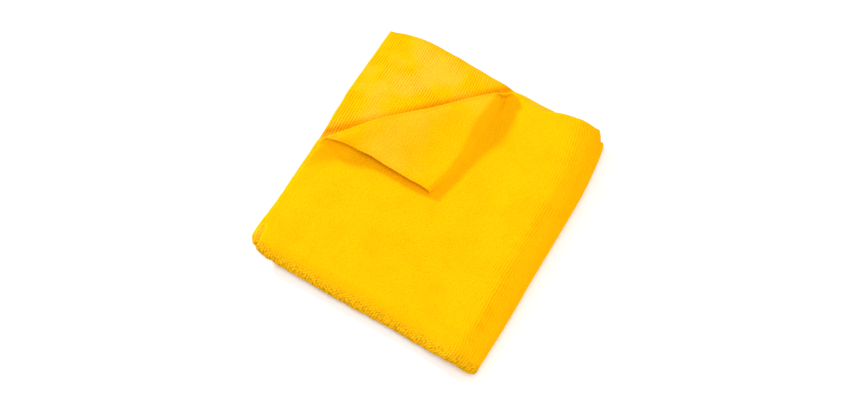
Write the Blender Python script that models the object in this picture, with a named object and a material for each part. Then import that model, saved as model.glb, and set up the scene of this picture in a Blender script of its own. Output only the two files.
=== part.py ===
"""Microfibre cloth, folded in quarters, with one corner of the top layer turned back.

One flat sheet, 350 x 400 mm, is carried through three folds:
  1. across the middle, at the front of the pack,
  2. beside the ribs, at the right of the pack,
  3. the loose corner at the back left, peeled back over the pack.
Tables are in millimetres, measured from the front left corner of the folded cloth, with
x along the front fold, y towards the back and z up. The finished solid is in metres,
with the middle of its underside at the origin.
"""
import math

import bmesh
import bpy
from mathutils import Vector
from mathutils.geometry import delaunay_2d_cdt

MM = 0.001

# the flat sheet
SHEET_WIDTH = 350.0
SHEET_LENGTH = 400.0
SHEET_THICKNESS = 1.8
HALF_WIDTH = SHEET_WIDTH / 2
HALF_LENGTH = SHEET_LENGTH / 2

# middle of the folded cloth, which is the origin of the solid
PACK_MIDDLE = Vector((HALF_WIDTH / 2, HALF_LENGTH / 2, 0.0))

# how far the two layers of a doubled half lie apart, half of it, middle to middle
LAYER_HALF_SPACING = 1.45
FRONT_FOLD_RADIUS = 2.0
FRONT_FOLD_REACH = 22.0
# air between the lower and the upper pair
PAIR_GAP_BACK = 0.9
PAIR_GAP_FRONT = 0.5

# right fold: (distance from the front fold, value)
RIGHT_FOLD_X = ((0, 176.5), (25, 176.0), (110, 176.0), (150, 175.5), (170, 174.0),
                (184, 171.0), (196, 167.0), (206, 163.0))
RIGHT_FOLD_LOW_REACH = ((0, 3.7), (110, 3.8), (200, 4.0))
RIGHT_FOLD_TOP_REACH = ((0, 4.2), (40, 6.0), (110, 10.5), (160, 13.0), (200, 14.0))
PUFF_HEIGHT = ((0, 1.0), (40, 1.6), (110, 3.2), (160, 4.6), (200, 5.0))
PUFF_WIDTH = ((0, 30.0), (200, 70.0))

# how far the front fold and the four cut edges wander from straight, outwards
FRONT_FOLD_INSET = ((-10, 5.5), (0, 4.0), (12, 2.6), (50, 1.6), (110, 0.8), (172, 0.0))
# along the width of the sheet
OUTER_BACK_EDGE = ((0, 0.0), (60, 1.0), (120, -1.0), (200, -4.5), (240, -9.4), (256, -7.5),
                   (272, -5.9), (300, -6.2), (325, -9.1), (350, -13.7))
INNER_BACK_EDGE = ((0, -1.0), (60, -1.0), (120, -2.0), (175, -5.0), (220, -4.0),
                   (265, -1.0), (300, 0.5), (335, 1.0), (350, -4.0))
# along the length of the sheet
LOWER_LEFT_EDGE = ((0, 2.0), (100, 0.0), (170, 0.0), (200, -0.5), (230, 0.0),
                   (300, 1.0), (400, 2.0))
UPPER_LEFT_EDGE = ((0, 5.5), (21, 3.8), (38, 1.9), (56, -1.0), (75, -2.4), (94, -2.6),
                   (106, -1.6), (118, -1.0), (130, 0.3), (165, 0.5), (186, -1.0), (196, -5.0),
                   (202, -5.0), (212, -1.0), (225, 0.5), (300, 3.0), (350, 5.5), (400, 6.0))

# the turned-back corner: a line across the top layer, from the left side to the back
TURN_LEFT_END = (-2.0, 82.6)
TURN_BACK_END = (107.0, 195.0)
# (share of the line, radius of the lower half of the bend)
TURN_LOW_RADIUS = ((0.0, 1.6), (0.165, 3.1), (0.29, 5.0), (0.42, 6.1), (0.6, 5.9), (0.75, 6.3),
                   (1.0, 5.6))
# (share of the line, radius of its upper half)
TURN_TOP_RADIUS = ((0.0, 1.6), (0.165, 1.6), (0.29, 1.6), (0.6, 1.8), (1.0, 2.2))
# past the bend the corner sinks towards the cloth below it
SINK = 5.7
SINK_LENGTH = 48.0
# its right side curls down and its foot lies on the cloth: (distance along the width of
# the sheet, value); the foot is a share of the curl's own arc
CURL_WIDTH = ((230, 7.4), (250, 7.4), (275, 9.9), (300, 9.5), (325, 6.8), (350, 4.1))
CURL_RADIUS = ((250, 4.5), (300, 3.2), (350, 2.2))
CURL_DROP = ((250, 1.6), (262, 3.4), (278, 6.0), (292, 4.6), (306, 2.8), (320, 1.7), (335, 1.6),
             (350, 2.0))
CURL_FOOT = ((300, 1.0), (350, 0.0))
CURL_START = 1.4
CURL_FULL = 15.3
# the crest beside the curl stands up from the corner: (distance along the width, height)
CREST_HEIGHT = ((240, 0.0), (275, 1.1), (300, 1.0), (350, 0.7))
CREST_WIDTH = 11.0
# in front of the bend the top layer climbs towards it: (share of the line, height)
RAMP_HEIGHT = ((-0.1, 3.0), (0.0, 4.3), (0.15, 4.8), (0.3, 3.6), (0.45, 1.3), (0.6, 0.8),
               (0.8, 0.3), (1.0, 0.0))
RAMP_START = -15.0
RAMP_END = 4.0

# mesh lines over the flat sheet: (start, end, steps)
WIDTH_STEPS = ((0, 160, 10), (160, 208, 20), (208, 264, 5), (264, 350, 10))
LENGTH_STEPS = ((0, 120, 14), (120, 186, 5), (186, 214, 14), (214, 400, 12))
CURL_STEPS = ((262, 350, 11),)
CURL_ROWS = 6
TURN_ROWS = 10
TURN_COLUMNS = 24


def smooth(start, end, value):
    t = min(max((value - start) / (end - start), 0.0), 1.0)
    return t * t * (3 - 2 * t)


def read_table(rows, value):
    """A soft curve through the rows of a table, level beyond its ends."""
    value = min(max(value, rows[0][0]), rows[-1][0])
    k = 0
    while k < len(rows) - 2 and value > rows[k + 1][0]:
        k += 1
    slopes = []
    for n in (k, k + 1):
        if 0 < n < len(rows) - 1:
            rise = rows[n + 1][1] - rows[n - 1][1]
            slopes.append(rise / (rows[n + 1][0] - rows[n - 1][0]))
        else:
            slopes.append(0.0)
    step = rows[k + 1][0] - rows[k][0]
    t = (value - rows[k][0]) / step
    low = (1 + 2 * t) * (1 - t) ** 2 * rows[k][1] + t * (1 - t) ** 2 * step * slopes[0]
    high = t * t * (3 - 2 * t) * rows[k + 1][1] - t * t * (1 - t) * step * slopes[1]
    return low + high


def even_angle(angle, across, height):
    """The ellipse angle for an even share of its quarter's length."""
    k = (height - across) / (across + height) / 2
    found = angle
    for _ in range(4):
        found -= (found - k * math.sin(2 * found) - angle) / (1 - 2 * k * math.cos(2 * found))
    return found


def turn_line():
    dx = TURN_BACK_END[0] - TURN_LEFT_END[0]
    dy = TURN_BACK_END[1] - TURN_LEFT_END[1]
    length = math.hypot(dx, dy)
    return dx / length, dy / length, length


def by_turn_line(x, y):
    """How far (x, y) lies along the turn line and beyond it."""
    ex, ey, _ = turn_line()
    dx, dy = x - TURN_LEFT_END[0], y - TURN_LEFT_END[1]
    return dx * ex + dy * ey, dy * ex - dx * ey


def curl_shape(u, share):
    """Angle, radius, straight stretch and foot angle of the curl at u, for its share."""
    width, radius = read_table(CURL_WIDTH, u), read_table(CURL_RADIUS, u)
    foot_share = read_table(CURL_FOOT, u)
    drop = read_table(CURL_DROP, u) * share
    low, high = 0.0, min(math.pi / 2, width / radius / (1 + foot_share))
    for _ in range(16):
        steep = (low + high) / 2
        straight = width - radius * steep * (1 + foot_share)
        left = steep * (1 - foot_share)
        reached = radius * (1 + math.cos(left) - 2 * math.cos(steep)) + straight * math.sin(steep)
        if reached < drop:
            low = steep
        else:
            high = steep
    return steep, radius, straight, left


def curled(u, into, share):
    """How far the curl carries a point along and off the sheet, into mm past its start."""
    if into <= 0 or share < 1e-3:
        return 0.0, 0.0
    steep, radius, straight, left = curl_shape(u, share)
    arc = min(radius * steep, into)
    on_straight = min(into - arc, straight)
    on_foot = into - arc - on_straight
    turn_by = arc / radius
    now = steep - on_foot / radius
    forward = radius * math.sin(turn_by) + on_straight * math.cos(steep)
    down = radius * (1 - math.cos(turn_by)) + on_straight * math.sin(steep)
    if on_foot > 0:
        forward += radius * (math.sin(steep) - math.sin(now))
        down += radius * (math.cos(now) - math.cos(steep))
    return forward - into, down


def turned_back(u, v, x, y, z):
    """Carry a point of the top layer round the bend of the turned-back corner."""
    ex, ey, length = turn_line()
    along, beyond = by_turn_line(x, y)
    z += read_table(RAMP_HEIGHT, along / length) * smooth(RAMP_START, RAMP_END, beyond)
    if beyond <= 0:
        return x, y, z
    width = read_table(CURL_WIDTH, u)
    shift, off_sheet = curled(u, width - v, smooth(CURL_START, CURL_FULL, beyond))
    y += shift
    along, beyond = by_turn_line(x, y)
    if beyond <= 0:
        return x, y, z + off_sheet
    low = read_table(TURN_LOW_RADIUS, along / length)
    top = read_table(TURN_TOP_RADIUS, along / length)
    quarter = low * math.pi / 2
    if beyond < quarter:
        angle = beyond / low
        away = (low - off_sheet) * math.sin(angle)
        lift = low - (low - off_sheet) * math.cos(angle)
    else:
        angle = min(math.pi / 2 + (beyond - quarter) / top, math.pi)
        past = max(beyond - quarter - top * math.pi / 2, 0.0)
        away = low - top + (top - off_sheet) * math.sin(angle) - past
        lift = low - (top - off_sheet) * math.cos(angle)
        lift -= SINK * smooth(0, SINK_LENGTH, past)
        from_crest = max(v - width, 0.0) / CREST_WIDTH
        lift += (read_table(CREST_HEIGHT, u) * math.exp(-from_crest * from_crest)
                 * smooth(0, 20, past))
    return (TURN_LEFT_END[0] + along * ex - away * ey,
            TURN_LEFT_END[1] + along * ey + away * ex,
            z + lift)


def folded(u, v, turn=True):
    """Where the middle of the sheet at (u, v) lies in the folded cloth."""
    # fold 1, at the front: outer layers from one half of the length, inner from the other
    outer = v < HALF_LENGTH
    side = -1.0 if outer else 1.0
    back_edge = HALF_LENGTH + read_table(OUTER_BACK_EDGE if outer else INNER_BACK_EDGE, u)
    quarter = math.pi * FRONT_FOLD_RADIUS / 2
    path = abs(v - HALF_LENGTH) / HALF_LENGTH * (quarter + back_edge - FRONT_FOLD_RADIUS)
    angle = min(path / FRONT_FOLD_RADIUS, math.pi / 2)
    if path < quarter:
        y = FRONT_FOLD_RADIUS * (1 - math.cos(angle))
    else:
        y = FRONT_FOLD_RADIUS + path - quarter
    near_front = 1 - smooth(0, FRONT_FOLD_REACH, y)
    spacing = LAYER_HALF_SPACING + (FRONT_FOLD_RADIUS - LAYER_HALF_SPACING) * near_front
    offset = side * spacing * math.sin(angle)
    pair_gap = PAIR_GAP_BACK + (PAIR_GAP_FRONT - PAIR_GAP_BACK) * near_front

    # fold 2, at the right: the doubled sheet goes round an egg-shaped bend
    low_middle = SHEET_THICKNESS / 2 + spacing
    top_middle = low_middle + 2 * spacing + SHEET_THICKNESS + pair_gap
    puff = read_table(PUFF_HEIGHT, y)
    low_reach = read_table(RIGHT_FOLD_LOW_REACH, y)
    top_reach = read_table(RIGHT_FOLD_TOP_REACH, y)
    low_height = low_reach
    top_height = top_middle + puff - low_middle - low_height
    nose = read_table(RIGHT_FOLD_X, y) - spacing - SHEET_THICKNESS / 2
    low_start = nose - low_reach
    top_start = nose - top_reach
    low_arc = (low_reach + low_height) * math.pi / 4 - offset * math.pi / 2
    top_arc = (top_reach + top_height) * math.pi / 4 - offset * math.pi / 2
    low_left = -read_table(LOWER_LEFT_EDGE, v)
    top_left = -read_table(UPPER_LEFT_EDGE, v)
    low_run = low_start - low_left
    top_run = top_start - top_left
    walked = u / SHEET_WIDTH * (low_run + low_arc + top_arc + top_run)
    upper = False
    if walked < low_run:
        x = low_left + walked
        z = low_middle + offset
    elif walked < low_run + low_arc:
        turn_by = (walked - low_run) / low_arc * math.pi / 2
        tx, tz = low_reach * math.cos(turn_by), low_height * math.sin(turn_by)
        size = math.hypot(tx, tz)
        x = low_start + low_reach * math.sin(turn_by) - offset * tz / size
        z = low_middle + low_height * (1 - math.cos(turn_by)) + offset * tx / size
    elif walked < low_run + low_arc + top_arc:
        turn_by = (walked - low_run - low_arc) / top_arc * math.pi / 2
        turn_by = even_angle(turn_by, top_reach, top_height)
        tx, tz = -top_reach * math.sin(turn_by), top_height * math.cos(turn_by)
        size = math.hypot(tx, tz)
        x = top_start + top_reach * math.cos(turn_by) - offset * tz / size
        z = low_middle + low_height + top_height * math.sin(turn_by) + offset * tx / size
    else:
        upper = True
        inwards = walked - low_run - low_arc - top_arc
        x = top_start - inwards
        settled = smooth(0, 1, inwards / read_table(PUFF_WIDTH, y))
        z = top_middle + puff * (1 - settled) - offset
    y += read_table(FRONT_FOLD_INSET, x) * (1 - smooth(0, 60, y))

    # fold 3, the corner of the top layer
    if turn and outer and upper:
        x, y, z = turned_back(u, v, x, y, z)
    return Vector((x, y, z))


def face_direction(u, v):
    """The direction straight out of the sheet at (u, v)."""
    step = 0.05
    u0, u1 = max(u - step, 0.0), min(u + step, SHEET_WIDTH)
    v0, v1 = max(v - step, 0.0), min(v + step, SHEET_LENGTH)
    across = folded(u1, v) - folded(u0, v)
    along = folded(u, v1) - folded(u, v0)
    return across.cross(along).normalized()


def spaced(steps):
    """Values along one side of the sheet, from (start, end, count) rows."""
    values = []
    for start, end, count in steps:
        for n in range(count):
            values.append(start + (end - start) * n / count)
    values.append(steps[-1][1])
    return values


def on_sheet_from_plan(x, y):
    """The (u, v) of the top layer above plan position (x, y), before the corner is turned."""
    u = SHEET_WIDTH - x
    v = HALF_LENGTH - y
    for _ in range(12):
        at = folded(u, v, turn=False)
        u += at.x - x
        v += at.y - y
        u = min(max(u, 215.0), SHEET_WIDTH)
        v = min(max(v, 0.0), HALF_LENGTH - 6)
    return u, v


def bend_length(along, half_turns):
    """How far beyond the turn line the bend reaches, in mm, for a share of its half turn."""
    _, _, length = turn_line()
    low = read_table(TURN_LOW_RADIUS, along / length) * min(half_turns, 0.5)
    top = read_table(TURN_TOP_RADIUS, along / length) * max(half_turns - 0.5, 0.0)
    return (low + top) * math.pi


def where_edge_bends(half_turns, near, far):
    """The point between near and far, two (u, v) on a cut edge, at this share of the bend."""
    low, high = 0.0, 1.0
    for _ in range(30):
        middle = (low + high) / 2
        u = near[0] + (far[0] - near[0]) * middle
        v = near[1] + (far[1] - near[1]) * middle
        at = folded(u, v, turn=False)
        along, beyond = by_turn_line(at.x, at.y)
        if beyond < bend_length(along, half_turns):
            low = middle
        else:
            high = middle
    return u, v


def turn_grid():
    """Points in rows along the turned-back bend, with one on each cut edge for every row."""
    ex, ey, length = turn_line()
    found = []
    for row in range(TURN_ROWS + 1):
        half_turns = row / TURN_ROWS
        left = where_edge_bends(half_turns, (SHEET_WIDTH, 150.0), (SHEET_WIDTH, 0.0))
        back = where_edge_bends(half_turns, (220.0, 0.0), (SHEET_WIDTH, 0.0))
        found += [left, back]
        for column in range(TURN_COLUMNS + 3):
            along = length * column / TURN_COLUMNS
            beyond = bend_length(along, half_turns)
            x = TURN_LEFT_END[0] + along * ex - beyond * ey
            y = TURN_LEFT_END[1] + along * ey + beyond * ex
            u, v = on_sheet_from_plan(x, y)
            at = folded(u, v, turn=False)
            inside = u < SHEET_WIDTH - 2.5 and v > 2.5
            if inside and abs(at.x - x) < 0.5 and abs(at.y - y) < 0.5:
                found.append((u, v))
    return found


def clear_of(point, others, across, along):
    return all(abs(point[0] - u) > across or abs(point[1] - v) > along for u, v in others)


def sheet_points():
    """Points over the flat sheet: a grid, finer at the folds, and rows along the turn."""
    turn = turn_grid()
    curl = []
    for u in spaced(CURL_STEPS):
        width = read_table(CURL_WIDTH, u)
        for row in range(CURL_ROWS + 1):
            point = (u, width * row / CURL_ROWS)
            if clear_of(point, turn, 3.0, 1.0):
                curl.append(point)
    points = turn + curl
    for u in spaced(WIDTH_STEPS):
        for v in spaced(LENGTH_STEPS):
            corner = u in (0.0, SHEET_WIDTH) and v in (0.0, SHEET_LENGTH)
            clear = clear_of((u, v), turn, 4.0, 4.0) and clear_of((u, v), curl, 5.0, 2.0)
            if (corner or clear) and clear_of((u, v), turn + curl, 0.3, 0.3):
                points.append((u, v))
    return points


def cloth_mesh(name):
    points = sheet_points()
    flat, _, faces, _, _, _ = delaunay_2d_cdt([Vector(p) for p in points], [], [], 0, 1e-6)
    build = bmesh.new()
    lower, upper = [], []
    for p in flat:
        at = folded(p.x, p.y) - PACK_MIDDLE
        out = face_direction(p.x, p.y) * (SHEET_THICKNESS / 2)
        lower.append(build.verts.new((at - out) * MM))
        upper.append(build.verts.new((at + out) * MM))
    uses = {}
    for face in faces:
        a, b, c = face
        area = (flat[b] - flat[a]).cross(flat[c] - flat[a])
        if abs(area) < 1e-6:
            continue
        if area < 0:
            a, b, c = a, c, b
        build.faces.new((upper[a], upper[b], upper[c]))
        build.faces.new((lower[c], lower[b], lower[a]))
        for edge in ((a, b), (b, c), (c, a)):
            uses[edge] = True
    for a, b in list(uses):
        if (b, a) not in uses:
            build.faces.new((upper[b], upper[a], lower[a], lower[b]))
    bmesh.ops.triangulate(build, faces=[f for f in build.faces if len(f.verts) > 3])
    bmesh.ops.recalc_face_normals(build, faces=build.faces)
    mesh = bpy.data.meshes.new(name)
    build.to_mesh(mesh)
    build.free()
    return mesh


def cloth_material():
    material = bpy.data.materials.new("yellow_microfibre")
    material.use_nodes = True
    shader = material.node_tree.nodes["Principled BSDF"]
    shader.inputs["Base Color"].default_value = (0.95, 0.55, 0.01, 1.0)
    shader.inputs["Roughness"].default_value = 0.95
    shader.inputs["Metallic"].default_value = 0.0
    return material


def build_part():
    for old in list(bpy.data.objects):
        bpy.data.objects.remove(old, do_unlink=True)
    cloth = bpy.data.objects.new("folded_cloth", cloth_mesh("folded_cloth"))
    cloth.data.materials.append(cloth_material())
    bpy.context.scene.collection.objects.link(cloth)


build_part()
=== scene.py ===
"""The look of the microfibre cloth: a thin ribbed sheet, folded in quarters, with one
corner of its top layer turned back, on a pale floor.

Lengths in the tables are millimetres, measured from the front left corner of the folded
cloth, with x along the front fold, y towards the back and z up. On the flat sheet u runs
across the ribs and v along them. Everything in the scene is in metres, with the middle
of the cloth's underside at the origin.
"""

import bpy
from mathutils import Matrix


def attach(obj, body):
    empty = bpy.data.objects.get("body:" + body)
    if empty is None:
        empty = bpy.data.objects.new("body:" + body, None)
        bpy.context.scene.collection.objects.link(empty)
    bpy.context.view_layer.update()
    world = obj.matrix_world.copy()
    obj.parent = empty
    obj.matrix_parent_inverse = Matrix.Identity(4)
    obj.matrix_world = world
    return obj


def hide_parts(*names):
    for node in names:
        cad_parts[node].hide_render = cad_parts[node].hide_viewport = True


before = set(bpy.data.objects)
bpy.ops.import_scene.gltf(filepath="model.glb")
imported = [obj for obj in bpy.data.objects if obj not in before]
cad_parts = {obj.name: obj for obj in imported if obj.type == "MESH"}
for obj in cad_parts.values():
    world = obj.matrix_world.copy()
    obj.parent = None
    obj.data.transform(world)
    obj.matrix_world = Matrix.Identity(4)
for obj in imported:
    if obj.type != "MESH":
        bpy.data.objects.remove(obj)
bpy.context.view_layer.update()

import math

import bmesh
import bpy
from mathutils import Vector, noise

MM = 0.001

# the flat sheet
SHEET_WIDTH = 350.0
SHEET_LENGTH = 400.0
SHEET_THICKNESS = 1.8
HALF_WIDTH = SHEET_WIDTH / 2
HALF_LENGTH = SHEET_LENGTH / 2
# its cut edges are pressed thinner than the rest and rounded
EDGE_THICKNESS = 1.0
EDGE_REACH = 2.2
EDGE_ROUND = 0.3

# middle of the folded cloth, which is the origin of the solid
CLOTH_MIDDLE = Vector((HALF_WIDTH / 2, HALF_LENGTH / 2, 0.0))

# fold 1, at the front, doubles the sheet: half the distance between its layers' middles
LAYER_HALF_SPACING = 1.45
FRONT_FOLD_RADIUS = 1.6
FRONT_FOLD_REACH = 22.0
# air between the lower and the upper pair of layers
PAIR_GAP = 0.9

# fold 2, at the right, is an egg-shaped bend: (distance from the front fold, value); its
# reaches are how far its lower and upper halves go in from the nose
RIGHT_FOLD_X = ((0, 176.3), (15, 176.4), (34, 176.7), (58, 176.5), (74, 176.1), (110, 175.9),
                (150, 175.2), (170, 173.2), (184, 170.2), (196, 166.4), (206, 162.5))
RIGHT_FOLD_LOW_REACH = ((0, 3.7), (110, 3.8), (200, 4.0))
RIGHT_FOLD_TOP_REACH = ((0, 4.2), (40, 5.5), (110, 7.5), (160, 8.5), (200, 9.0))
# the outermost layer bulges out of its lower half at the back
LOW_BULGE = ((0, 0.0), (150, 0.0), (174, 0.9), (186, 2.7), (200, 2.9))
# the fold is puffed up above the layers beside it, and comes down to them over this width
PUFF_HEIGHT = ((0, 1.0), (40, 1.5), (110, 2.6), (160, 3.7), (200, 4.1))
PUFF_WIDTH = ((0, 40.0), (100, 55.0), (200, 72.0))
# its top slopes down to its nose: rise over run, reach, soft start
RIGHT_SLOPE = 0.24
RIGHT_SLOPE_REACH = 17.0
RIGHT_SLOPE_START = 4.0

# at the front the upper pair droops over the lower one: (distance along the front, value)
FRONT_DROOP = ((0, 0.7), (5, 0.7), (11, 1.1), (18, 2.1), (28, 3.2), (138, 3.2), (148, 2.3),
               (156, 1.0), (162, 0.5), (168, 0.3))
FRONT_DROOP_REACH = 13.0
LOWER_SET_BACK = ((-6, 2.0), (3, 2.5), (22, 7.8), (145, 7.8), (168, 1.5))
UPPER_FORWARD = 1.2
SET_BACK_REACH = 34.0
# the front fold is drawn in from straight, and the layers follow it for a while
FRONT_FOLD_INSET = ((-10, 4.5), (0, 3.2), (6, 2.5), (14, 1.7), (40, 1.2), (80, 0.9), (100, 1.3),
                    (130, 1.0), (172, 0.2))
FRONT_INSET_REACH = 60.0

# how far the four cut edges wander outwards from straight: (distance along the width of
# the sheet, value) for the back ones
OUTER_BACK_EDGE = ((0, 0.0), (60, 1.0), (120, -1.0), (150, -3.0), (164, -5.5), (170.5, -6.6),
                   (172.5, -7.6), (174.5, -9.8), (176.5, -8.8), (178.5, -5.0), (180.5, -1.7),
                   (183, -2.2), (187, -2.4), (200, -3.4), (211, -5.3), (222, -9.1), (240, -8.9),
                   (256, -6.2), (262, -3.6), (268, -1.2), (276, -0.8), (290, -2.6), (305, -4.1),
                   (325, -7.4), (338, -10.8), (350, -14.8))
INNER_BACK_EDGE = ((0, -1.0), (60, -1.0), (120, -2.0), (175, -5.0), (220, -4.0),
                   (262, -1.0), (275, 0.3), (285, 0.7), (300, 1.5), (312, 2.1), (325, 1.6),
                   (337, -0.4), (350, -4.2))
# and (distance along the length of the sheet, value) for the left ones
LOWER_LEFT_EDGE = ((0, 2.0), (100, 0.0), (150, 0.4), (165, 2.2), (170, 3.2), (176, 4.0),
                   (183, 4.0), (190, 3.6), (195, 3.0), (199, 0.2), (202, -0.6), (208, 1.5),
                   (230, 0.0), (300, 1.0), (400, 2.0))
UPPER_LEFT_EDGE = ((0, 5.0), (5, 4.4), (12, 3.7), (21, 3.2), (38, 1.1), (56, -1.6), (66, -2.9),
                   (76, -3.8), (86, -3.9), (95, -2.9), (106, -1.7), (118, -1.0), (130, 0.3),
                   (165, 0.6), (171, 0.5), (176, 0.0), (180, -2.2), (184, -4.7), (190, -5.8),
                   (196, -6.2), (200, -7.0), (204, -7.0), (212, -3.0), (225, 0.5), (300, 3.4),
                   (325, 5.2), (340, 6.4), (375, 6.7), (400, 7.2))

# fold 3, the turned-back corner: a line across the top layer, from the left side to the back
TURN_LEFT_END = (-2.0, 82.6)
TURN_BACK_END = (107.0, 195.0)
TURN_RUN = (TURN_BACK_END[0] - TURN_LEFT_END[0], TURN_BACK_END[1] - TURN_LEFT_END[1])
TURN_LENGTH = math.hypot(*TURN_RUN)
TURN_WAY = (TURN_RUN[0] / TURN_LENGTH, TURN_RUN[1] / TURN_LENGTH)
# the corner keeps this far from the other two folds
CLEAR_OF_FOLDS = 20.0
# (share of the line, radius of the lower half of the bend)
TURN_LOW_RADIUS = ((0.0, 1.6), (0.165, 3.1), (0.29, 5.0), (0.42, 6.1), (0.6, 5.9), (0.75, 6.3),
                   (1.0, 5.6))
# (share of the line, radius of its upper half)
TURN_TOP_RADIUS = ((0.0, 1.6), (0.165, 1.6), (0.29, 1.6), (0.6, 1.8), (1.0, 2.2))
# past the bend the corner sinks towards the cloth below it
SINK = 5.7
SINK_LENGTH = 48.0
# its right side curls down and its foot lies on the cloth: (distance along the width of
# the sheet, value); the foot is a share of the curl's own arc
CURL_WIDTH = ((230, 7.4), (250, 7.6), (262, 10.2), (268, 11.8), (276, 12.3), (290, 12.1),
              (300, 10.9), (325, 7.3), (338, 5.9), (350, 5.0))
CURL_RADIUS = ((250, 3.2), (300, 3.2), (350, 2.3))
CURL_DROP = ((250, 2.8), (262, 6.0), (270, 6.9), (276, 6.75), (282, 6.4), (288, 5.8), (294, 5.1),
             (306, 3.7), (320, 2.8), (335, 2.8), (342, 3.15), (350, 3.7))
CURL_FOOT = ((300, 1.0), (335, 1.0), (350, 0.2))
# the curl sets in on the bend, from where to where beyond the turn line, and below this
# share of itself there is none
CURL_START = 1.4
CURL_FULL = 15.3
CURL_LEAST = 0.001
# the cut edge thins out where it lies on the cloth: (distance along the width, by how
# much); it stays crisp where it thins by more than this, and this near the far side
CURL_LIP = ((250, 0.0), (258, 0.8), (342, 0.8), (349, 0.3))
CURL_LIP_REACH = 4.0
CRISP_LIP = 0.2
CRISP_SIDE = 1.0
# the crest beside the curl stands up from the corner: (distance along the width, height)
CREST_HEIGHT = ((240, 0.0), (275, 1.1), (300, 1.0), (350, 0.7))
CREST_WIDTH = 11.0
CREST_START = 20.0
# its front side sags towards the cloth below, but lifts near the tip: (distance along the
# length, depth)
SAG_DEPTH = ((5, 0.0), (14, -0.9), (32, -1.0), (46, 0.0), (60, 1.2), (80, 1.6), (96, 0.5),
             (106, 0.0))
SAG_WIDTH = 18.0
SAG_START = 12.0
# in front of the bend the top layer climbs towards it: (share of the line, height)
RAMP_HEIGHT = ((-0.1, 3.0), (0.0, 4.3), (0.15, 4.8), (0.3, 3.6), (0.45, 1.3), (0.6, 0.8),
               (0.8, 0.3), (1.0, 0.0))
RAMP_START = -15.0
RAMP_END = 4.0
# behind the bend the layers below are pressed in: (share of the line, depth)
VALLEY_DEPTH = ((0.0, 1.0), (0.2, 1.7), (0.3, 1.4), (0.42, 1.3), (0.55, 1.8), (0.66, 1.8),
                (0.78, 1.4), (0.9, 1.8), (1.0, 1.2))
VALLEY_AT = 10.3
VALLEY_WIDTH = 3.2

# soft waves in the lying cloth, full at this height: (size along x, along y, height, seed)
WAVES_FULL_AT = 10.0
WAVES = ((34.0, 41.0, 0.55, 3.7), (15.0, 19.0, 0.22, 8.2))
# the front fold's loops push its outline in and out, less and less going back
FRONT_LUMPS = 0.7
FRONT_LUMP_WIDTH = 4.6
FRONT_LUMP_HEIGHT = 5.0
FRONT_LUMP_SEED = 2.2
FRONT_LUMP_FADE = (2.0, 12.0)
# the cut edges waver
EDGE_WAVER = 0.5
EDGE_WAVER_LENGTH = 13.0
EDGE_WAVER_REACH = 14.0
EDGE_WAVER_SEED = 5.1

# mesh lines over the flat sheet: (start, end, steps)
WIDTH_LINES = ((0, 4, 3), (4, 160, 62), (160, 172, 6), (172, 206, 34), (206, 346, 74),
               (346, 350, 3))
LENGTH_LINES = ((0, 4, 3), (4, 186, 96), (186, 194, 6), (194, 206, 22), (206, 214, 6),
                (214, 396, 46), (396, 400, 3))
# cuts in each line where the corner turns back, and the strip beyond the turn line for them
TURN_CUTS = 2
TURN_FINE = (-4.0, 18.0)

# how clearly the ribs of the lower layers show, and how much of that is lost at the back
# edge: there it fades out between these distances along the width and from the edge
LOWER_RIBS = 0.88
BACK_EDGE_LOSS = 0.8
BACK_EDGE_LOSS_ENDS = (240.0, 255.0)
BACK_EDGE_LOSS_FADE = (4.0, 12.0)
# the same on the top layers beside the right fold: (distance along the width, share); it
# grows to double between these distances along the length, towards the front fold
SHOULDER_RIBS = ((160, 0.25), (176, 0.12), (184, 0.2), (189, 0.6), (198, 0.6), (207, 0.08),
                 (350, 0.05))
SHOULDER_RIBS_GROW = (90.0, 185.0)
# and over the front fold, where the loops open between these distances from its middle
FRONT_RIBS = 0.85
LOOPS_OPEN = (2.0, 10.0)
# how much of the paler nap shows on the turned-back corner, from inside its curl: there
# it sets in between these shares of the curl's width
TURNED_PALE = 0.45
TURNED_PALE_START = (0.7, 1.5)
# painted shade, in dark orange, in a strip behind the bend: (share of the line, how much)
BEND_SHADE_BEHIND = ((0.0, 0.3), (0.08, 0.9), (0.2, 0.8), (0.3, 0.45), (0.42, 0.5), (0.55, 1.0),
                  (0.68, 0.9), (0.76, 0.5), (0.86, 1.0), (0.94, 0.7), (1.0, 0.2))
BEND_SHADE_AT = 12.8
BEND_SHADE_WIDTH = 2.6
# and a little painted shade on the bend itself
BEND_SHADE_RIM = 0.5
BEND_SHADE_RIM_WIDTH = 1.5
BEND_SHADE_RIM_BEFORE = 0.9

# the knit: ribs and rows of loops, which shift by this share of a loop from rib to rib
RIB_PITCH = 1.9
RIB_WOBBLE_WIDTH = 0.6
LOOP_PITCH = 2.3
LOOP_STAGGER = 0.37
# how high its parts stand
RIB_HEIGHT = 0.34
LOOP_HEIGHT = 0.03
OPEN_LOOP_HEIGHT = 0.2
NAP_HEIGHT = 0.22
TUFT_HEIGHT = 0.3
# how its nap and threads vary over the flat sheet: (scale per metre, detail, roughness)
NAP = (1500.0, 3.0, 0.7)
TUFTS = (420.0, 3.0, 0.6)
GRAIN = (800.0, 1.0, 0.5)
CLOUDS = (90.0, 2.0, 0.5)
PATCHES = (42.0, 3.0, 0.55)
PALE_PATCHES = (30.0, 2.0, 0.5)
THREAD_CURLS = (560.0, 1.0, 0.5)
RIB_WOBBLE = (130.0, 2.0, 0.5)
# the nap hides the ribs in places: (from, to, share of the ribs there and there)
BARE_RIBS = (0.40, 0.60, 0.25, 1.0)
BARE_BY_PATCHES = 0.6
BARE_BY_CLOUDS = 0.4
# what closes the gaps between the open loops of the front fold
CLOSED_BY_LOOPS = 0.12
CLOSED_BY_RIBS = 0.4
CLOSED_BY_CURLS = 2.4

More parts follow.
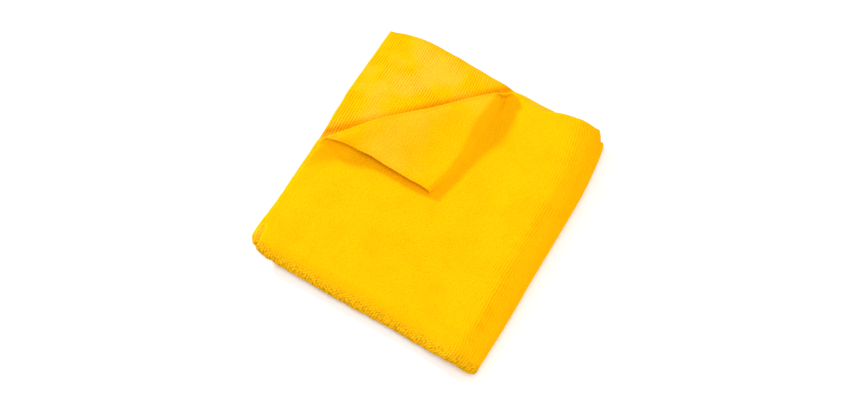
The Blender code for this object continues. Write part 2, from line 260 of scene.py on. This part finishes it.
# colours of the yarn and nap
YELLOW = (0.965, 0.452, 0.0012, 1.0)
OPEN_LOOP_YELLOW = (0.78, 0.41, 0.007, 1.0)
OPEN_LOOP_SHARE = 0.5
# painted shade behind and on the bend of the turned-back corner, and how much of it shows
BEND_SHADE_ORANGE = (0.58, 0.19, 0.001, 1.0)
BEND_SHADE_SHARE = 0.8
# tints laid over them: (from, to, share there and there, colour)
# painted shade in the valleys between the ribs
RIB_VALLEY_SHADE = (0.25, 1.0, 0.0, 0.65, (0.88, 0.335, 0.001, 1.0))
PATCH_TINT = (0.45, 0.7, 0.0, 0.4, (0.93, 0.395, 0.001, 1.0))
CLOUD_TINT = (0.50, 0.74, 0.0, 0.35, (0.92, 0.385, 0.001, 1.0))
PALE_TINT = (0.42, 0.68, 0.0, 0.42, (0.95, 0.48, 0.055, 1.0))
TUFT_TINT = (0.5, 0.75, 0.0, 0.3, (0.985, 0.50, 0.003, 1.0))
GRAIN_TINT = (0.32, 0.52, 0.3, 0.0, (0.88, 0.35, 0.001, 1.0))
# painted shade in the gaps between the front fold's open loops
LOOP_GAP_SHADE = (-0.2, 0.4, 0.9, 0.0, (0.50, 0.25, 0.004, 1.0))
EDGE_TINT = (1.8 * MM, 4.2 * MM, 0.4, 0.0, (0.88, 0.36, 0.001, 1.0))
# finish of the nap: (from, to, roughness there and there), and its faint sheen
NAP_ROUGHNESS = (0.3, 0.7, 0.82, 0.98)
SHEEN = 0.2
SHEEN_ROUGHNESS = 0.4
SHEEN_YELLOW = (1.0, 0.8, 0.03, 1.0)

# floor: half its side in metres, and its two whites, which vary at this scale per metre
FLOOR_REACH = 3.0
FLOOR_WHITES = ((0.97, 0.97, 0.97, 1.0), (0.99, 0.99, 0.99, 1.0))
FLOOR_SPECKLE = 12.0
FLOOR_ROUGHNESS = 0.8
FLOOR_GLOSS = 0.1

# camera: turned from the front towards the right and raised, in degrees
CAMERA_TURN = 30.8
CAMERA_RISE = 63.6
CAMERA_DISTANCE = 885.0
CAMERA_TARGET = (87.9, 88.1, 6.0)
# focus and width of its picture in pixels
CAMERA_FOCUS = 1300.0
PICTURE_WIDTH = 854
SENSOR_WIDTH = 36.0

# lights in the white room: a low one from the back left, a broad one nearly overhead and
# a weak one from the right: (name, turn and rise as the camera's, distance and size in
# metres, watts)
WHITE = (1.0, 1.0, 1.0, 1.0)
ROOM_LIGHT = 0.65
LIGHTS = (("key", 252.0, 20.5, 1.5, 0.18, 25.0),
          ("fill", 42.0, 74.0, 2.0, 1.6, 17.0),
          ("side", 75.0, 22.0, 1.5, 0.6, 2.7))
LIGHT_TARGET = (0.0, 0.0, 0.01)


def smooth(start, end, value):
    """A soft step from 0 at the start to 1 at the end."""
    t = min(max((value - start) / (end - start), 0.0), 1.0)
    return t * t * (3 - 2 * t)


def hump(off):
    """A soft hump: 1 in its middle, and less the further off."""
    return math.exp(-off * off)


def read_table(rows, value):
    """A soft curve through the rows of a table, level beyond its ends."""
    value = min(max(value, rows[0][0]), rows[-1][0])
    k = 0
    while k < len(rows) - 2 and value > rows[k + 1][0]:
        k += 1
    slopes = []
    for n in (k, k + 1):
        if 0 < n < len(rows) - 1:
            rise = rows[n + 1][1] - rows[n - 1][1]
            slopes.append(rise / (rows[n + 1][0] - rows[n - 1][0]))
        else:
            slopes.append(0.0)
    step = rows[k + 1][0] - rows[k][0]
    t = (value - rows[k][0]) / step
    low = (1 + 2 * t) * (1 - t) ** 2 * rows[k][1] + t * (1 - t) ** 2 * step * slopes[0]
    high = t * t * (3 - 2 * t) * rows[k + 1][1] - t * t * (1 - t) * step * slopes[1]
    return low + high


def even_angle(angle, across, height):
    """The ellipse angle for an even share of its quarter's length."""
    bias = (height - across) / (across + height) / 2
    found = angle
    for _ in range(4):
        off = found - bias * math.sin(2 * found) - angle
        found -= off / (1 - 2 * bias * math.cos(2 * found))
    return found


def by_turn_line(x, y):
    """How far (x, y) lies along the turn line and beyond it."""
    dx, dy = x - TURN_LEFT_END[0], y - TURN_LEFT_END[1]
    return dx * TURN_WAY[0] + dy * TURN_WAY[1], dy * TURN_WAY[0] - dx * TURN_WAY[1]


def curl_shape(u, share):
    """Steepest angle, radius and straight stretch of the curl at u, for its share."""
    width, radius = read_table(CURL_WIDTH, u), read_table(CURL_RADIUS, u)
    foot = read_table(CURL_FOOT, u)
    drop = read_table(CURL_DROP, u) * share
    # steeper or flatter, by halves, until it reaches as far down as it should
    low, high = 0.0, min(math.pi / 2, width / radius / (1 + foot))
    for _ in range(16):
        steep = (low + high) / 2
        straight = width - radius * steep * (1 + foot)
        at_foot_end = steep * (1 - foot)
        reached = (radius * (1 + math.cos(at_foot_end) - 2 * math.cos(steep))
                   + straight * math.sin(steep))
        if reached < drop:
            low = steep
        else:
            high = steep
    return steep, radius, straight


def curled(u, into, share):
    """How far the curl carries a point along and off the sheet, into mm past its start."""
    if into <= 0 or share < CURL_LEAST:
        return 0.0, 0.0
    steep, radius, straight = curl_shape(u, share)
    arc = min(radius * steep, into)
    on_straight = min(into - arc, straight)
    on_foot = into - arc - on_straight
    turn_by = arc / radius
    now = steep - on_foot / radius
    forward = radius * math.sin(turn_by) + on_straight * math.cos(steep)
    down = radius * (1 - math.cos(turn_by)) + on_straight * math.sin(steep)
    if on_foot > 0:
        forward += radius * (math.sin(steep) - math.sin(now))
        down += radius * (math.cos(now) - math.cos(steep))
    return forward - into, down


def thinned(u, v):
    """How much the curl's cut edge thins out towards the cloth that it lies on."""
    return read_table(CURL_LIP, u) * (1 - smooth(0, CURL_LIP_REACH, v))


def turned_back(u, v, x, y, z):
    """Fold 3: carry a point of the top layer round the bend of the turned-back corner."""
    along, beyond = by_turn_line(x, y)
    z += read_table(RAMP_HEIGHT, along / TURN_LENGTH) * smooth(RAMP_START, RAMP_END, beyond)
    if beyond <= 0:
        return x, y, z
    # the curl along its cut edge
    width = read_table(CURL_WIDTH, u)
    shift, off_sheet = curled(u, width - v, smooth(CURL_START, CURL_FULL, beyond))
    y += shift
    along, beyond = by_turn_line(x, y)
    if beyond <= 0:
        return x, y, z + off_sheet
    # round the lower half of the bend, or over its upper half and on
    low = read_table(TURN_LOW_RADIUS, along / TURN_LENGTH)
    top = read_table(TURN_TOP_RADIUS, along / TURN_LENGTH)
    quarter = low * math.pi / 2
    if beyond < quarter:
        angle = beyond / low
        away = (low - off_sheet) * math.sin(angle)
        lift = low - (low - off_sheet) * math.cos(angle)
    else:
        angle = min(math.pi / 2 + (beyond - quarter) / top, math.pi)
        past = max(beyond - quarter - top * math.pi / 2, 0.0)
        away = low - top + (top - off_sheet) * math.sin(angle) - past
        lift = low - (top - off_sheet) * math.cos(angle) - SINK * smooth(0, SINK_LENGTH, past)
        crest = read_table(CREST_HEIGHT, u) * hump(max(v - width, 0.0) / CREST_WIDTH)
        sag = read_table(SAG_DEPTH, v) * hump((SHEET_WIDTH - u) / SAG_WIDTH)
        lift += crest * smooth(0, CREST_START, past) - sag * smooth(0, SAG_START, past)
    return (TURN_LEFT_END[0] + along * TURN_WAY[0] - away * TURN_WAY[1],
            TURN_LEFT_END[1] + along * TURN_WAY[1] + away * TURN_WAY[0],
            z + lift)


def pressed_in(x, y, z):
    """How far the weight of the bend presses a lower layer down behind it."""
    along, beyond = by_turn_line(x, y)
    share = (z - SHEET_THICKNESS / 2) / (4 * LAYER_HALF_SPACING)
    depth = read_table(VALLEY_DEPTH, along / TURN_LENGTH)
    return depth * hump((beyond - VALLEY_AT) / VALLEY_WIDTH) * share


def sloped_down(x, nose):
    """How far the top of the right fold has come down at x."""
    into = max(x - nose + RIGHT_SLOPE_REACH, 0.0)
    if into < RIGHT_SLOPE_START:
        return RIGHT_SLOPE * into * into / RIGHT_SLOPE_START / 2
    return RIGHT_SLOPE * (into - RIGHT_SLOPE_START / 2)


def pair_middles(spacing):
    """Heights of the middles of the lower and the upper pair of layers."""
    low = SHEET_THICKNESS / 2 + spacing
    return low, low + 2 * spacing + SHEET_THICKNESS + PAIR_GAP


def round_front(u, v):
    """Fold 1: distance from the front fold, half the layers' spacing there, and how far
    the sheet lies inside its pair's middle."""
    outer = v < HALF_LENGTH
    back_edge = HALF_LENGTH + read_table(OUTER_BACK_EDGE if outer else INNER_BACK_EDGE, u)
    quarter = math.pi * FRONT_FOLD_RADIUS / 2
    path = abs(v - HALF_LENGTH) / HALF_LENGTH * (quarter + back_edge - FRONT_FOLD_RADIUS)
    angle = min(path / FRONT_FOLD_RADIUS, math.pi / 2)
    if path < quarter:
        y = FRONT_FOLD_RADIUS * (1 - math.cos(angle))
    else:
        y = FRONT_FOLD_RADIUS + path - quarter
    near_front = 1 - smooth(0, FRONT_FOLD_REACH, y)
    spacing = LAYER_HALF_SPACING + (FRONT_FOLD_RADIUS - LAYER_HALF_SPACING) * near_front
    inside = (-1 if outer else 1) * spacing * math.sin(angle)
    return y, spacing, inside


def round_right(u, v, y, spacing, inside):
    """Fold 2: x, height, and the share of the fold's height, 1 when past it on top."""
    low_middle, top_middle = pair_middles(spacing)
    puff = read_table(PUFF_HEIGHT, y)
    # the lower half is round, the upper half a quarter of an ellipse
    low_reach, top_reach = read_table(RIGHT_FOLD_LOW_REACH, y), read_table(RIGHT_FOLD_TOP_REACH, y)
    top_height = top_middle + puff - low_middle - low_reach
    low_arc = (low_reach - inside) * math.pi / 2
    top_arc = (top_reach + top_height) * math.pi / 4 - inside * math.pi / 2
    # straight runs lead to it from the lower left edge and away to the upper one
    nose = read_table(RIGHT_FOLD_X, y) - spacing - SHEET_THICKNESS / 2
    low_start, top_start = nose - low_reach, nose - top_reach
    low_left = -read_table(LOWER_LEFT_EDGE, v)
    low_run = low_start - low_left
    top_run = top_start + read_table(UPPER_LEFT_EDGE, v)
    walked = u / SHEET_WIDTH * (low_run + low_arc + top_arc + top_run)
    past_low_run = walked - low_run
    past_low_arc = past_low_run - low_arc
    past_top_arc = past_low_arc - top_arc
    if past_low_run < 0:
        return low_left + walked, low_middle + inside, 0.0
    if past_low_arc < 0:
        turn_by = past_low_run / low_arc * math.pi / 2
        x = low_start + (low_reach - inside) * math.sin(turn_by)
        if v < HALF_LENGTH:
            x += read_table(LOW_BULGE, y) * math.sin(2 * turn_by)
        z = low_middle + low_reach - (low_reach - inside) * math.cos(turn_by)
        return x, z, low_reach * (1 - math.cos(turn_by)) / (low_reach + top_height)
    if past_top_arc < 0:
        turn_by = even_angle(past_low_arc / top_arc * math.pi / 2, top_reach, top_height)
        way_x, way_z = -top_reach * math.sin(turn_by), top_height * math.cos(turn_by)
        steepness = math.hypot(way_x, way_z)
        risen = low_reach + top_height * math.sin(turn_by)
        x = top_start + top_reach * math.cos(turn_by) - inside * way_z / steepness
        z = low_middle + risen + inside * way_x / steepness
        return x, z - sloped_down(x, nose) * math.sin(turn_by), risen / (low_reach + top_height)
    x = top_start - past_top_arc
    puffed = puff * (1 - smooth(0, 1, past_top_arc / read_table(PUFF_WIDTH, y)))
    return x, top_middle + puffed - inside - sloped_down(x, nose), 1.0


def settled_at_front(x, y, z, level):
    """The upper pair droops at the front, over the lower one, which is set back."""
    set_back = read_table(LOWER_SET_BACK, x) * (1 - level) - UPPER_FORWARD * level
    inset = read_table(FRONT_FOLD_INSET, x) * (1 - smooth(0, FRONT_INSET_REACH, y))
    droop = read_table(FRONT_DROOP, x) * (1 - smooth(0, FRONT_DROOP_REACH, y))
    return y + set_back * (1 - smooth(0, SET_BACK_REACH, y)) + inset, z - droop * level


def folded(u, v, turn=True):
    """Where the middle of the sheet at (u, v) lies in the folded cloth."""
    y, spacing, inside = round_front(u, v)
    x, z, level = round_right(u, v, y, spacing, inside)
    y, z = settled_at_front(x, y, z, level)
    if turn and level == 1.0 and v < HALF_LENGTH:
        x, y, z = turned_back(u, v, x, y, z)
    elif turn and z < pair_middles(spacing)[1]:
        z -= pressed_in(x, y, z)
    return Vector((x, y, z))


def from_cut_edge(u, v):
    """Distance from the nearest cut edge of the flat sheet."""
    return min(u, SHEET_WIDTH - u, v, SHEET_LENGTH - v)


def relaxed(point, u, v):
    """Soft unevenness of the lying cloth: more of it higher up in the fold."""
    rise = 0.0
    for along_x, along_y, height, seed in WAVES:
        rise += height * noise.noise(Vector((point.x / along_x, point.y / along_y, seed)))
    point.z += point.z / WAVES_FULL_AT * rise
    lumpy = noise.noise(Vector((point.x / FRONT_LUMP_WIDTH, point.z / FRONT_LUMP_HEIGHT,
                                FRONT_LUMP_SEED)))
    point.y += FRONT_LUMPS * lumpy * (1 - smooth(*FRONT_LUMP_FADE, point.y))
    waver = noise.noise(Vector((u / EDGE_WAVER_LENGTH, v / EDGE_WAVER_LENGTH, EDGE_WAVER_SEED)))
    near_edge = 1 - smooth(0, EDGE_WAVER_REACH, from_cut_edge(u, v))
    point.x += EDGE_WAVER * waver * near_edge
    point.y += EDGE_WAVER * waver * near_edge
    return point


def loops_open(v):
    """How far the loops open over the front fold."""
    return 1 - smooth(*LOOPS_OPEN, abs(v - HALF_LENGTH))


def rib_strength(u, v):
    """How clearly the ribs stand out of the nap: least on the brushed top of the cloth."""
    if v > HALF_LENGTH:
        loss = BACK_EDGE_LOSS * (1 - smooth(*BACK_EDGE_LOSS_ENDS, u))
        return LOWER_RIBS * (1 - loss * (1 - smooth(*BACK_EDGE_LOSS_FADE, SHEET_LENGTH - v)))
    towards_front = 1 + smooth(*SHOULDER_RIBS_GROW, v)
    return max(read_table(SHOULDER_RIBS, u) * towards_front, FRONT_RIBS * loops_open(v))


def paleness(u, v, facing):
    """How much of the paler nap shows: most on the lower layers, none on the top or curl."""
    if v > HALF_LENGTH:
        return 1.0
    if facing >= 0:
        return 0.0
    return TURNED_PALE * smooth(*TURNED_PALE_START, v / read_table(CURL_WIDTH, u))


def painted_bend_shade(u, v):
    """How much painted shade lies behind and on the bend of the turned-back corner."""
    if u < HALF_WIDTH + CLEAR_OF_FOLDS:
        return 0.0
    at = folded(u, v, turn=False)
    along, beyond = by_turn_line(at.x, at.y)
    share = along / TURN_LENGTH
    if v > HALF_LENGTH:
        return read_table(BEND_SHADE_BEHIND, share) * hump((beyond - BEND_SHADE_AT) / BEND_SHADE_WIDTH)
    bend = (read_table(TURN_LOW_RADIUS, share) + read_table(TURN_TOP_RADIUS, share)) * math.pi / 2
    return BEND_SHADE_RIM * hump((beyond - bend + BEND_SHADE_RIM_BEFORE) / BEND_SHADE_RIM_WIDTH)


def spaced(lines):
    """Places of the mesh lines over one side of the flat sheet."""
    values = []
    for start, end, count in lines:
        values += [start + (end - start) * n / count for n in range(count)]
    return values + [lines[-1][1]]


def flat_sheet():
    """The flat sheet as a mesh of (u, v) in mm, finer where its corner turns back."""
    flat = bmesh.new()
    rows = [[flat.verts.new((u, v, 0)) for v in spaced(LENGTH_LINES)] for u in spaced(WIDTH_LINES)]
    for near, far in zip(rows, rows[1:]):
        for j in range(len(near) - 1):
            flat.faces.new((near[j], far[j], far[j + 1], near[j + 1]))
    bends = set()
    for vert in flat.verts:
        u, v, _ = vert.co
        if u > HALF_WIDTH + CLEAR_OF_FOLDS and v < HALF_LENGTH - CLEAR_OF_FOLDS:
            at = folded(u, v, turn=False)
            if TURN_FINE[0] < by_turn_line(at.x, at.y)[1] < TURN_FINE[1]:
                bends.add(vert)
    edges = [edge for edge in flat.edges if edge.verts[0] in bends and edge.verts[1] in bends]
    bmesh.ops.subdivide_edges(flat, edges=edges, cuts=TURN_CUTS, use_grid_fill=True)
    return flat


def rim_point(vert, u, v):
    """The outermost point of the rounded cut edge at a point of the sheet's border."""
    side = Vector((0, 0, 0))
    for link in vert.link_loops:
        for near in (link, link.link_loop_prev):
            if near.edge.is_boundary:
                way = near.link_loop_next.vert.co - near.vert.co
                side += way.cross(vert.normal).normalized()
    return vert.co + side.normalized() * EDGE_ROUND + vert.normal * thinned(u, v) / 2


def cloth_skin():
    """The folded sheet with its thickness: points (place, u, v, facing), faces, crisp points."""
    sheet = flat_sheet()
    flat = [(vert.co.x, vert.co.y) for vert in sheet.verts]
    for vert, (u, v) in zip(sheet.verts, flat):
        vert.co = relaxed(folded(u, v), u, v)
    sheet.normal_update()
    sheet.verts.index_update()
    # a point n of the sheet has its upper one at 2 n and its lower one at 2 n + 1
    skin = []
    for vert, (u, v) in zip(sheet.verts, flat):
        full = smooth(0, EDGE_REACH, from_cut_edge(u, v))
        half = (EDGE_THICKNESS + (SHEET_THICKNESS - EDGE_THICKNESS) * full) / 2
        skin.append((vert.co + vert.normal * half, u, v, 1))
        skin.append((vert.co - vert.normal * (half - thinned(u, v)), u, v, -1))
    faces = []
    for face in sheet.faces:
        around = [vert.index for vert in face.verts]
        faces.append([2 * n for n in around])
        faces.append([2 * n + 1 for n in reversed(around)])
    # the cut edges are closed with a strip over and one under their rim
    rim = {}
    for edge in sheet.edges:
        if edge.is_boundary:
            loop = edge.link_loops[0]
            ends = (loop.vert, loop.link_loop_next.vert)
            for vert in ends:
                if vert.index not in rim:
                    rim[vert.index] = len(skin)
                    u, v = flat[vert.index]
                    skin.append((rim_point(vert, u, v), u, v, 0))
            a, b = (vert.index for vert in ends)
            faces.append((2 * b, 2 * a, rim[a], rim[b]))
            faces.append((rim[b], rim[a], 2 * a + 1, 2 * b + 1))
    far_side = {n for n in rim if flat[n][0] > SHEET_WIDTH - CRISP_SIDE}
    lip = {n for n in rim if thinned(*flat[n]) > CRISP_LIP}
    crisp = {2 * n for n in far_side} | {2 * n + 1 for n in far_side | lip}
    sheet.free()
    return skin, faces, crisp


def cloth_piece():
    """The folded cloth, with the flat sheet's own map and how its ribs and nap show."""
    skin, faces, crisp = cloth_skin()
    mesh = bpy.data.meshes.new("microfibre_cloth")
    mesh.from_pydata([(point - CLOTH_MIDDLE) * MM for point, *_ in skin], [], faces)
    layer = mesh.uv_layers.new(name="sheet")
    at_corners = [skin[loop.vertex_index] for loop in mesh.loops]
    layer.data.foreach_set("uv", [side * MM for _, u, v, _ in at_corners for side in (u, v)])
    shows = {"rib_show": [rib_strength(u, v) for _, u, v, _ in skin],
             "loop_show": [loops_open(v) for _, _, v, _ in skin],
             "pale_show": [paleness(u, v, facing) for _, u, v, facing in skin],
             # painted shade along the bend of the turned-back corner
             "bend_shade": [painted_bend_shade(u, v) for _, u, v, _ in skin]}
    for name, values in shows.items():
        mesh.attributes.new(name, "FLOAT", "POINT").data.foreach_set("value", values)
    mesh.polygons.foreach_set("use_smooth", [True] * len(mesh.polygons))
    mesh.validate()
    mesh.update()
    for edge in mesh.edges:
        if edge.vertices[0] in crisp and edge.vertices[1] in crisp:
            edge.use_edge_sharp = True
    piece = bpy.data.objects.new("microfibre_cloth", mesh)
    bpy.context.scene.collection.objects.link(piece)
    return piece


class Nodes:
    """Short ways to add and join the nodes of one material."""

    def __init__(self, material):
        material.use_nodes = True
        self.tree = material.node_tree
        self.shader = self.tree.nodes["Principled BSDF"]

    def plug(self, socket, value):
        if isinstance(value, bpy.types.NodeSocket):
            self.tree.links.new(value, socket)
        else:
            socket.default_value = value

    def math(self, operation, *values):
        node = self.tree.nodes.new("ShaderNodeMath")
        node.operation = operation
        for n, value in enumerate(values):
            self.plug(node.inputs[n], value)
        return node.outputs[0]

    def plus(self, first, second):
        return self.math("ADD", first, second)

    def less(self, first, second):
        return self.math("SUBTRACT", first, second)

    def times(self, first, *others):
        for other in others:
            first = self.math("MULTIPLY", first, other)
        return first

    def attribute(self, name):
        node = self.tree.nodes.new("ShaderNodeAttribute")
        node.attribute_name = name
        return node.outputs["Fac"]

    def noise(self, place, scale, detail=2.0, roughness=0.5):
        node = self.tree.nodes.new("ShaderNodeTexNoise")
        self.plug(node.inputs["Vector"], place)
        node.inputs["Scale"].default_value = scale
        node.inputs["Detail"].default_value = detail
        node.inputs["Roughness"].default_value = roughness
        return node.outputs["Fac"]

    def spread(self, value, low, high, at_low, at_high):
        """A soft step from one number to another while the value goes from low to high."""
        node = self.tree.nodes.new("ShaderNodeMapRange")
        node.interpolation_type = "SMOOTHSTEP"
        for n, item in enumerate((value, low, high, at_low, at_high)):
            self.plug(node.inputs[n], item)
        return node.outputs[0]

    def mix(self, share, first, second):
        node = self.tree.nodes.new("ShaderNodeMix")
        node.data_type = "RGBA"
        self.plug(node.inputs["Factor"], share)
        colours = [socket for socket in node.inputs if socket.type == "RGBA"]
        self.plug(colours[0], first)
        self.plug(colours[1], second)
        return [socket for socket in node.outputs if socket.type == "RGBA"][0]

    def tint(self, colour, value, low, high, at_low, at_high, over, where=None):
        """Lay a colour over another, by a soft step of a value, and only where it shows."""
        share = self.spread(value, low, high, at_low, at_high)
        if where is not None:
            share = self.times(share, where)
        return self.mix(share, colour, over)


class Knit:
    """The knit's patterns over the flat sheet, each a socket of the material's nodes."""

    def __init__(self, n):
        sheet = n.tree.nodes.new("ShaderNodeUVMap")
        sheet.uv_map = "sheet"
        self.place = sheet.outputs["UV"]
        split = n.tree.nodes.new("ShaderNodeSeparateXYZ")
        n.plug(split.inputs[0], self.place)
        self.u, self.v = split.outputs[0], split.outputs[1]
        self.open_loops = n.attribute("loop_show")
        self.pale = n.attribute("pale_show")
        # painted shade along the bend of the turned-back corner
        self.bend_shade = n.attribute("bend_shade")
        self.nap = n.noise(self.place, *NAP)
        self.tufts = n.noise(self.place, *TUFTS)
        self.grain = n.noise(self.place, *GRAIN)
        self.clouds = n.noise(self.place, *CLOUDS)
        self.patches = n.noise(self.place, *PATCHES)
        # the nap hides the ribs in places
        bare = n.plus(n.times(self.patches, BARE_BY_PATCHES), n.times(self.clouds, BARE_BY_CLOUDS))
        bare = n.math("MAXIMUM", n.spread(bare, *BARE_RIBS), self.open_loops)
        self.rib_show = n.times(n.attribute("rib_show"), bare)
        wobble = n.less(n.noise(self.place, *RIB_WOBBLE), 0.5)
        ribs_at = n.plus(self.u, n.times(wobble, RIB_WOBBLE_WIDTH * MM))
        ribs_at = n.math("DIVIDE", ribs_at, RIB_PITCH * MM)
        self.ribs = n.math("ABSOLUTE", n.math("SINE", n.times(ribs_at, math.pi)))
        stagger = n.times(n.math("FLOOR", ribs_at), LOOP_STAGGER)
        loops_at = n.plus(n.math("DIVIDE", self.v, LOOP_PITCH * MM), stagger)
        self.loops = n.math("SINE", n.times(loops_at, 2 * math.pi))


def knit_relief(n, knit):
    """Ribs, loops and nap standing up from the cloth."""
    ribs = n.times(knit.ribs, knit.rib_show, RIB_HEIGHT * MM)
    loop_height = n.plus(LOOP_HEIGHT * MM, n.times(knit.open_loops, OPEN_LOOP_HEIGHT * MM))
    loops = n.times(knit.loops, knit.ribs, loop_height)
    nap = n.times(knit.nap, NAP_HEIGHT * MM)
    tufts = n.times(n.plus(knit.tufts, knit.grain), TUFT_HEIGHT * MM)
    bump = n.tree.nodes.new("ShaderNodeBump")
    bump.inputs["Strength"].default_value = 1.0
    bump.inputs["Distance"].default_value = 1.0
    n.plug(bump.inputs["Height"], n.plus(n.plus(ribs, loops), n.plus(nap, tufts)))
    return bump.outputs[0]


def knit_colour(n, knit):
    """Yellow, with painted shade between the ribs and soft mottles in the nap."""
    # painted shade in the valleys between the ribs, as far as the ribs show
    valley_shade = n.times(n.less(1.0, knit.ribs), knit.rib_show)
    colour = n.tint(YELLOW, valley_shade, *RIB_VALLEY_SHADE)
    colour = n.tint(colour, knit.patches, *PATCH_TINT)
    colour = n.tint(colour, knit.clouds, *CLOUD_TINT)
    colour = n.tint(colour, n.noise(knit.place, *PALE_PATCHES), *PALE_TINT, where=knit.pale)
    colour = n.tint(colour, knit.tufts, *TUFT_TINT)
    colour = n.tint(colour, knit.grain, *GRAIN_TINT)
    # over the front fold the loops stand open, with painted shade in the gaps between them
    closed = n.plus(n.times(knit.loops, CLOSED_BY_LOOPS), n.times(knit.ribs, CLOSED_BY_RIBS))
    curls = n.less(n.noise(knit.place, *THREAD_CURLS), 0.5)
    closed = n.plus(closed, n.times(curls, CLOSED_BY_CURLS))
    colour = n.mix(n.times(knit.open_loops, OPEN_LOOP_SHARE), colour, OPEN_LOOP_YELLOW)
    colour = n.tint(colour, closed, *LOOP_GAP_SHADE, where=knit.open_loops)
    # the cut edges of the lower layers are darker
    from_side = n.math("MINIMUM", knit.u, n.less(SHEET_WIDTH * MM, knit.u))
    from_end = n.math("MINIMUM", knit.v, n.less(SHEET_LENGTH * MM, knit.v))
    from_edge = n.math("MINIMUM", from_side, from_end)
    colour = n.tint(colour, from_edge, *EDGE_TINT, where=knit.pale)
    # painted shade in dark orange along the bend of the turned-back corner, behind it and on it
    return n.mix(n.times(knit.bend_shade, BEND_SHADE_SHARE), colour, BEND_SHADE_ORANGE)


def microfibre_material():
    """Yellow warp-knitted microfibre: ribs along the length, rows of loops, a short nap."""
    material = bpy.data.materials.new("yellow_ribbed_microfibre")
    n = Nodes(material)
    knit = Knit(n)
    n.plug(n.shader.inputs["Base Color"], knit_colour(n, knit))
    n.plug(n.shader.inputs["Roughness"], n.spread(knit.tufts, *NAP_ROUGHNESS))
    n.plug(n.shader.inputs["Normal"], knit_relief(n, knit))
    n.shader.inputs["Specular IOR Level"].default_value = 0.0
    n.shader.inputs["Sheen Weight"].default_value = SHEEN
    n.shader.inputs["Sheen Roughness"].default_value = SHEEN_ROUGHNESS
    n.shader.inputs["Sheen Tint"].default_value = SHEEN_YELLOW
    return material


def floor_piece():
    """A wide pale floor under the cloth."""
    mesh = bpy.data.meshes.new("floor")
    corners = [(-1, -1), (1, -1), (1, 1), (-1, 1)]
    mesh.from_pydata([(x * FLOOR_REACH, y * FLOOR_REACH, 0) for x, y in corners], [], [(0, 1, 2, 3)])
    piece = bpy.data.objects.new("floor", mesh)
    bpy.context.scene.collection.objects.link(piece)
    material = bpy.data.materials.new("pale_floor")
    n = Nodes(material)
    speckle = n.noise(n.tree.nodes.new("ShaderNodeTexCoord").outputs["Object"], FLOOR_SPECKLE)
    n.plug(n.shader.inputs["Base Color"], n.mix(speckle, *FLOOR_WHITES))
    n.shader.inputs["Roughness"].default_value = FLOOR_ROUGHNESS
    n.shader.inputs["Specular IOR Level"].default_value = FLOOR_GLOSS
    mesh.materials.append(material)
    return piece


def direction(turn, rise):
    """The way out from the cloth, turned from the front towards the right, and raised."""
    turn, rise = math.radians(turn), math.radians(rise)
    level = math.cos(rise)
    return Vector((math.sin(turn) * level, -math.cos(turn) * level, math.sin(rise)))


def aim(thing, target):
    way = Vector(target) - thing.location
    thing.rotation_euler = way.to_track_quat("-Z", "Y").to_euler()


def soft_light(name, turn, rise, distance, size, power):
    data = bpy.data.lights.new(name, "AREA")
    data.shape = "DISK"
    data.size = size
    data.energy = power
    lamp = bpy.data.objects.new(name, data)
    lamp.location = direction(turn, rise) * distance
    aim(lamp, LIGHT_TARGET)
    bpy.context.scene.collection.objects.link(lamp)


def studio():
    """A white room with soft lights."""
    scene = bpy.context.scene
    world = bpy.data.worlds.new("studio")
    world.use_nodes = True
    sky = world.node_tree.nodes["Background"]
    sky.inputs["Color"].default_value = WHITE
    sky.inputs["Strength"].default_value = ROOM_LIGHT
    scene.world = world
    for light in LIGHTS:
        soft_light(*light)
    scene.view_settings.view_transform = "Standard"
    scene.view_settings.look = "None"
    scene.view_settings.exposure = 0.0
    scene.view_settings.gamma = 1.0


def camera():
    """The camera, above the front right of the cloth."""
    data = bpy.data.cameras.new("camera")
    data.sensor_width = SENSOR_WIDTH
    data.lens = CAMERA_FOCUS / PICTURE_WIDTH * SENSOR_WIDTH
    data.dof.use_dof = False
    thing = bpy.data.objects.new("camera", data)
    target = (Vector(CAMERA_TARGET) - CLOTH_MIDDLE) * MM
    thing.location = target + direction(CAMERA_TURN, CAMERA_RISE) * CAMERA_DISTANCE * MM
    aim(thing, target)
    bpy.context.scene.collection.objects.link(thing)
    bpy.context.scene.camera = thing


cloth = cloth_piece()
cloth.data.materials.append(microfibre_material())
floor = floor_piece()
studio()
camera()

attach(cloth, "root")
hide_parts("folded_cloth")
